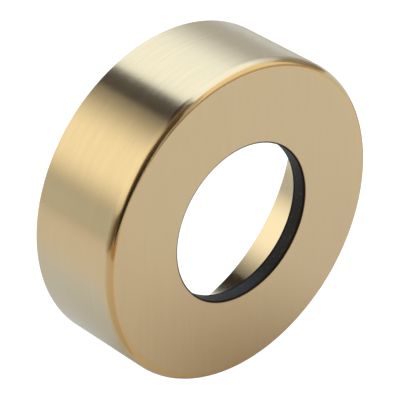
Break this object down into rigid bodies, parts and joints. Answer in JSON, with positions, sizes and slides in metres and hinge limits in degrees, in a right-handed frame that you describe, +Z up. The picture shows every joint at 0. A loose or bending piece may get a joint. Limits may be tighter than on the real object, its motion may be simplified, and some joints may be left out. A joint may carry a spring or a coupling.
{
  "type": "wall flange",
  "caption": "Deep round wall flange of brushed gold brass that hides the hole round a waste pipe. It is open at the back, and a black rubber ring behind its front lines the hole and grips the pipe.",
  "frame": {"origin": "where the pipe's axis meets the wall: the centre of the open back rim", "axes": "+Y into the wall along the pipe's axis, so the flange stands out of the wall along -Y; +Z up; +X to the right of someone who faces the wall"},
  "size_m": [0.065, 0.0205, 0.065],
  "materials": {
    "brushed_brass": "brushed gold",
    "black_rubber": "moulded matte"
  },
  "bodies": {
    "root": {"flange_shell": "brushed_brass", "grip_ring": "black_rubber"}
  },
  "joints": []
}
